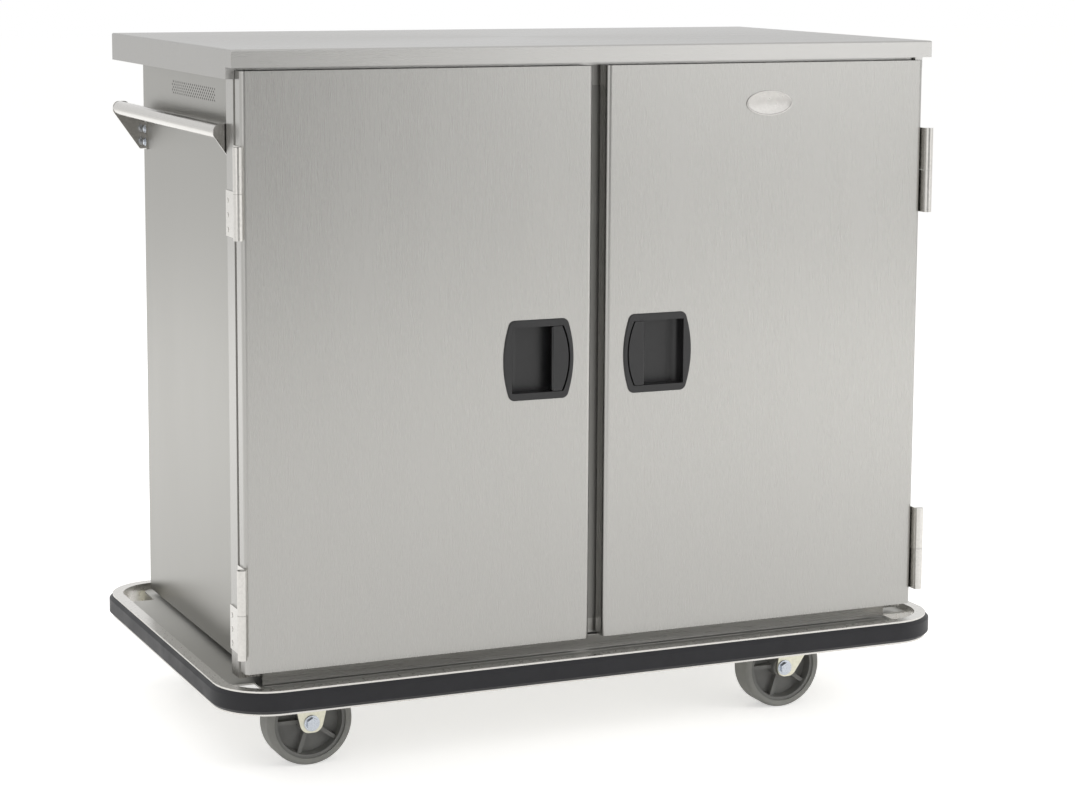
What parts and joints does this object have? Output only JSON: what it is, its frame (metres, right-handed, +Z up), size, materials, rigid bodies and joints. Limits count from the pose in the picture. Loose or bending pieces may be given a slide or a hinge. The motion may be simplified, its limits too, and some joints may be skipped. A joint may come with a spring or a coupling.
{
  "type": "enclosed meal tray cart",
  "caption": "Stainless steel meal tray cart: an enclosed cabinet with hinged doors, recessed paddle latches, tray runners, a side push handle, a bumpered deck and fixed and swivel casters.",
  "frame": {"origin": "on the floor under the centre of the deck's outline", "axes": "+X to the right along the doors, +Y from the doors to the back, +Z up"},
  "size_m": [1.379, 0.838, 1.224],
  "materials": {
    "brushed_steel": "fine upright brushing, satin",
    "polished_steel": "smooth satin polish",
    "inner_steel": "plain mill finish",
    "rail_steel": "bright satin",
    "zinc_plate": "bright zinc plate",
    "zinc_bolt": "zinc plate",
    "wheel_grey": "moulded, satin",
    "tread_rubber": "matt",
    "bumper_vinyl": "satin vinyl",
    "seal_rubber": "matt",
    "latch_plastic": "fine moulded grain"
  },
  "bodies": {
    "cart": {"deck_sheet": "brushed_steel", "perimeter_rail": "rail_steel", "vinyl_bumper": "bumper_vinyl", "fixed_caster_bolster": "inner_steel", "swivel_caster_bolster": "inner_steel", "cabinet_floor": "inner_steel", "left_side_panel": "brushed_steel", "right_side_panel": "brushed_steel", "back_panel": "brushed_steel", "ceiling_panel": "inner_steel", "top_cover": "brushed_steel", "left_front_post": "brushed_steel", "right_front_post": "brushed_steel", "header_rail": "brushed_steel", "sill_rail": "brushed_steel", "center_mullion": "brushed_steel", "center_partition": "inner_steel", "left_tray_rack": "inner_steel", "right_tray_rack": "inner_steel", "push_handle_tube": "polished_steel", "front_handle_bracket": "polished_steel", "rear_handle_bracket": "polished_steel", "left_lower_frame_hinge": "polished_steel", "left_upper_frame_hinge": "polished_steel", "right_lower_frame_hinge": "polished_steel", "right_upper_frame_hinge": "polished_steel", "front_fixed_fork": "zinc_plate", "rear_fixed_fork": "zinc_plate", "front_fixed_axle": "zinc_bolt", "rear_fixed_axle": "zinc_bolt", "front_swivel_base": "zinc_plate", "rear_swivel_base": "zinc_plate"},
    "left_door": {"left_door_pan": "brushed_steel", "left_door_liner": "brushed_steel", "left_door_seal": "seal_rubber", "left_lower_door_hinge": "polished_steel", "left_upper_door_hinge": "polished_steel", "left_latch_housing": "latch_plastic"},
    "right_door": {"right_door_pan": "brushed_steel", "right_door_liner": "brushed_steel", "right_door_seal": "seal_rubber", "right_lower_door_hinge": "polished_steel", "right_upper_door_hinge": "polished_steel", "right_latch_housing": "latch_plastic"},
    "left_paddle": {"left_latch_paddle": "latch_plastic"},
    "left_bolt": {"left_latch_bolt": "zinc_plate"},
    "right_paddle": {"right_latch_paddle": "latch_plastic"},
    "right_bolt": {"right_latch_bolt": "zinc_plate"},
    "front_swivel": {"front_swivel_fork": "zinc_plate", "front_swivel_axle": "zinc_bolt"},
    "front_fixed_wheel": {"front_fixed_wheel_core": "wheel_grey", "front_fixed_wheel_tread": "tread_rubber"},
    "front_swivel_wheel": {"front_swivel_wheel_core": "wheel_grey", "front_swivel_wheel_tread": "tread_rubber"},
    "rear_swivel": {"rear_swivel_fork": "zinc_plate", "rear_swivel_axle": "zinc_bolt"},
    "rear_fixed_wheel": {"rear_fixed_wheel_core": "wheel_grey", "rear_fixed_wheel_tread": "tread_rubber"},
    "rear_swivel_wheel": {"rear_swivel_wheel_core": "wheel_grey", "rear_swivel_wheel_tread": "tread_rubber"}
  },
  "joints": [
    {"name": "left_door_hinge", "type": "hinge", "parent": "cart", "child": "left_door", "pos_m": [-0.6487, -0.371, 0.655], "axis": [0, 0, 1], "range_deg": [-265, 0]},
    {"name": "right_door_hinge", "type": "hinge", "parent": "cart", "child": "right_door", "pos_m": [0.6487, -0.371, 0.655], "axis": [0, 0, 1], "range_deg": [0, 270]},
    {"name": "left_paddle_pivot", "type": "hinge", "parent": "left_door", "child": "left_paddle", "pos_m": [-0.069, -0.3575, 0.689], "axis": [0, 0, 1], "range_deg": [0, 21], "stiffness_Nm_per_rad": 0.5, "springref_deg": -5.73},
    {"name": "right_paddle_pivot", "type": "hinge", "parent": "right_door", "child": "right_paddle", "pos_m": [0.069, -0.3575, 0.689], "axis": [0, 0, 1], "range_deg": [-21, 0], "stiffness_Nm_per_rad": 0.5, "springref_deg": 5.73},
    {"name": "left_bolt_slide", "type": "slide", "parent": "left_door", "child": "left_bolt", "axis": [-1, 0, 0], "range_m": [0, 0.01187]},
    {"name": "right_bolt_slide", "type": "slide", "parent": "right_door", "child": "right_bolt", "axis": [1, 0, 0], "range_m": [0, 0.01187]},
    {"name": "front_swivel_pivot", "type": "hinge", "parent": "cart", "child": "front_swivel", "pos_m": [0.4495, -0.274, 0.168], "axis": [0, 0, 1], "continuous": true},
    {"name": "front_swivel_wheel_spin", "type": "hinge", "parent": "front_swivel", "child": "front_swivel_wheel", "pos_m": [0.4095, -0.274, 0.0762], "axis": [0, 1, 0], "continuous": true},
    {"name": "front_fixed_wheel_spin", "type": "hinge", "parent": "cart", "child": "front_fixed_wheel", "pos_m": [-0.5065, -0.274, 0.0762], "axis": [0, 1, 0], "continuous": true},
    {"name": "rear_swivel_pivot", "type": "hinge", "parent": "cart", "child": "rear_swivel", "pos_m": [0.4495, 0.274, 0.168], "axis": [0, 0, 1], "continuous": true},
    {"name": "rear_swivel_wheel_spin", "type": "hinge", "parent": "rear_swivel", "child": "rear_swivel_wheel", "pos_m": [0.4095, 0.274, 0.0762], "axis": [0, 1, 0], "continuous": true},
    {"name": "rear_fixed_wheel_spin", "type": "hinge", "parent": "cart", "child": "rear_fixed_wheel", "pos_m": [-0.5065, 0.274, 0.0762], "axis": [0, 1, 0], "continuous": true}
  ],
  "couplings": [
    {"joint": "left_paddle_pivot", "follows": "left_bolt_slide", "rad_per_m": 29.412},
    {"joint": "right_paddle_pivot", "follows": "right_bolt_slide", "rad_per_m": -29.412}
  ]
}
